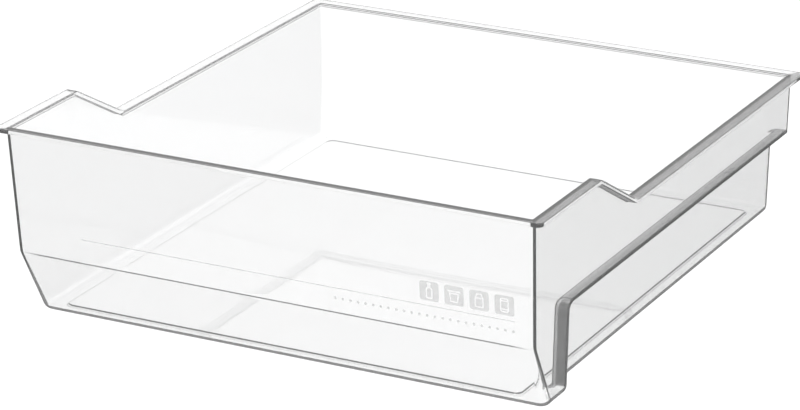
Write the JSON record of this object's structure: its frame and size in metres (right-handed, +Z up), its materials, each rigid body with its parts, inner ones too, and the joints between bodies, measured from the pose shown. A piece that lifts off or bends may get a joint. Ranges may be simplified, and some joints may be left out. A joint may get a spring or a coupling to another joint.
{
  "type": "refrigerator bin",
  "caption": "Clear open-topped refrigerator bin with a raised front rim, a slanted chin, an outward lip and a runner step down its right side.",
  "frame": {"origin": "middle of the bin's outline on the plane that it stands on", "axes": "+Z up, -Y towards the front with the raised rim, +X towards the side with the runner step"},
  "size_m": [0.45, 0.5034, 0.157],
  "materials": {
    "clear_plastic": "gloss, clear",
    "print_ink": "matt pad print"
  },
  "bodies": {
    "root": {"floor_panel": "clear_plastic", "front_chin": "clear_plastic", "front_left_corner": "clear_plastic", "front_lip": "clear_plastic", "front_right_corner": "clear_plastic", "front_upper_panel": "clear_plastic", "left_front_wall": "clear_plastic", "left_low_lip": "clear_plastic", "left_raised_lip": "clear_plastic", "left_rear_wall": "clear_plastic", "left_sloped_lip": "clear_plastic", "print_dots": "print_ink", "print_rule": "print_ink", "print_tile_bottle": "print_ink", "print_tile_can": "print_ink", "print_tile_carton": "print_ink", "print_tile_tub": "print_ink", "rear_left_corner": "clear_plastic", "rear_lip": "clear_plastic", "rear_right_lower_corner": "clear_plastic", "rear_right_upper_corner": "clear_plastic", "rear_wall": "clear_plastic", "right_front_wall": "clear_plastic", "right_ledge": "clear_plastic", "right_low_lip": "clear_plastic", "right_lower_wall": "clear_plastic", "right_raised_lip": "clear_plastic", "right_raised_wall": "clear_plastic", "right_sloped_lip": "clear_plastic", "right_step_web": "clear_plastic", "right_upper_wall": "clear_plastic"}
  },
  "joints": []
}
